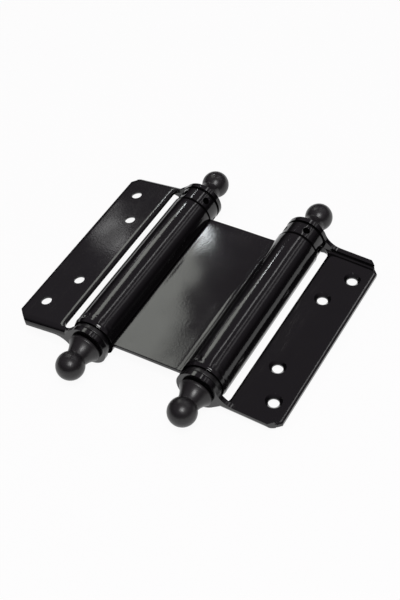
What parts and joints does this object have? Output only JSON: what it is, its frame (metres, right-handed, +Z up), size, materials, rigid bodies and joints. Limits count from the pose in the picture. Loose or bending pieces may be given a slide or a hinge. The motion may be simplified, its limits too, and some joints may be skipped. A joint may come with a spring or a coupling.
{
  "type": "double-acting spring hinge",
  "caption": "Double-acting spring hinge: two flanged leaves turn on rolled spring barrels joined by a centre plate, with ball finials and tension collars.",
  "frame": {"origin": "on the surface the barrels rest on, mid-way between the two barrels and at the middle of the leaves' length", "axes": "+Y along the barrels towards the tension collars, +X across the web towards the leaf whose countersunk face is up, +Z up"},
  "size_m": [0.1277, 0.136, 0.02],
  "materials": {
    "black_steel": "gloss",
    "satin_black": "satin",
    "bright_steel": "brushed",
    "washer_steel": "satin",
    "spring_steel": "oiled"
  },
  "bodies": {
    "centre": {"centre_plate": "black_steel", "anchor_plug_left": "black_steel", "anchor_plug_right": "black_steel", "torsion_spring_left": "spring_steel", "torsion_spring_right": "spring_steel"},
    "leaf_left": {"leaf_left": "black_steel", "finial_near_left": "satin_black", "finial_far_left": "satin_black", "finial_washer_near_left": "washer_steel", "finial_washer_far_left": "washer_steel", "thrust_washer_near_left": "washer_steel", "thrust_washer_far_left": "washer_steel", "spindle_left": "bright_steel"},
    "leaf_right": {"leaf_right": "black_steel", "finial_near_right": "satin_black", "finial_far_right": "satin_black", "finial_washer_near_right": "washer_steel", "finial_washer_far_right": "washer_steel", "thrust_washer_near_right": "washer_steel", "thrust_washer_far_right": "washer_steel", "spindle_right": "bright_steel"},
    "collar_left": {"tension_collar_left": "black_steel"},
    "collar_right": {"tension_collar_right": "black_steel"}
  },
  "joints": [
    {"name": "leaf_left_swing", "type": "hinge", "parent": "centre", "child": "leaf_left", "pos_m": [-0.0272, 0, 0.01], "axis": [0, -1, 0], "range_deg": [-146, 174]},
    {"name": "collar_left_tension", "type": "hinge", "parent": "centre", "child": "collar_left", "pos_m": [-0.0272, 0.043, 0.01], "axis": [0, -1, 0], "range_deg": [0, 216], "stiffness_Nm_per_rad": 0.9, "deforming": ["torsion_spring_left"]},
    {"name": "leaf_right_swing", "type": "hinge", "parent": "centre", "child": "leaf_right", "pos_m": [0.0272, 0, 0.01], "axis": [0, -1, 0], "range_deg": [-136.2, 183.8]},
    {"name": "collar_right_tension", "type": "hinge", "parent": "centre", "child": "collar_right", "pos_m": [0.0272, 0.043, 0.01], "axis": [0, -1, 0], "range_deg": [0, 216], "stiffness_Nm_per_rad": 0.9, "deforming": ["torsion_spring_right"]}
  ]
}
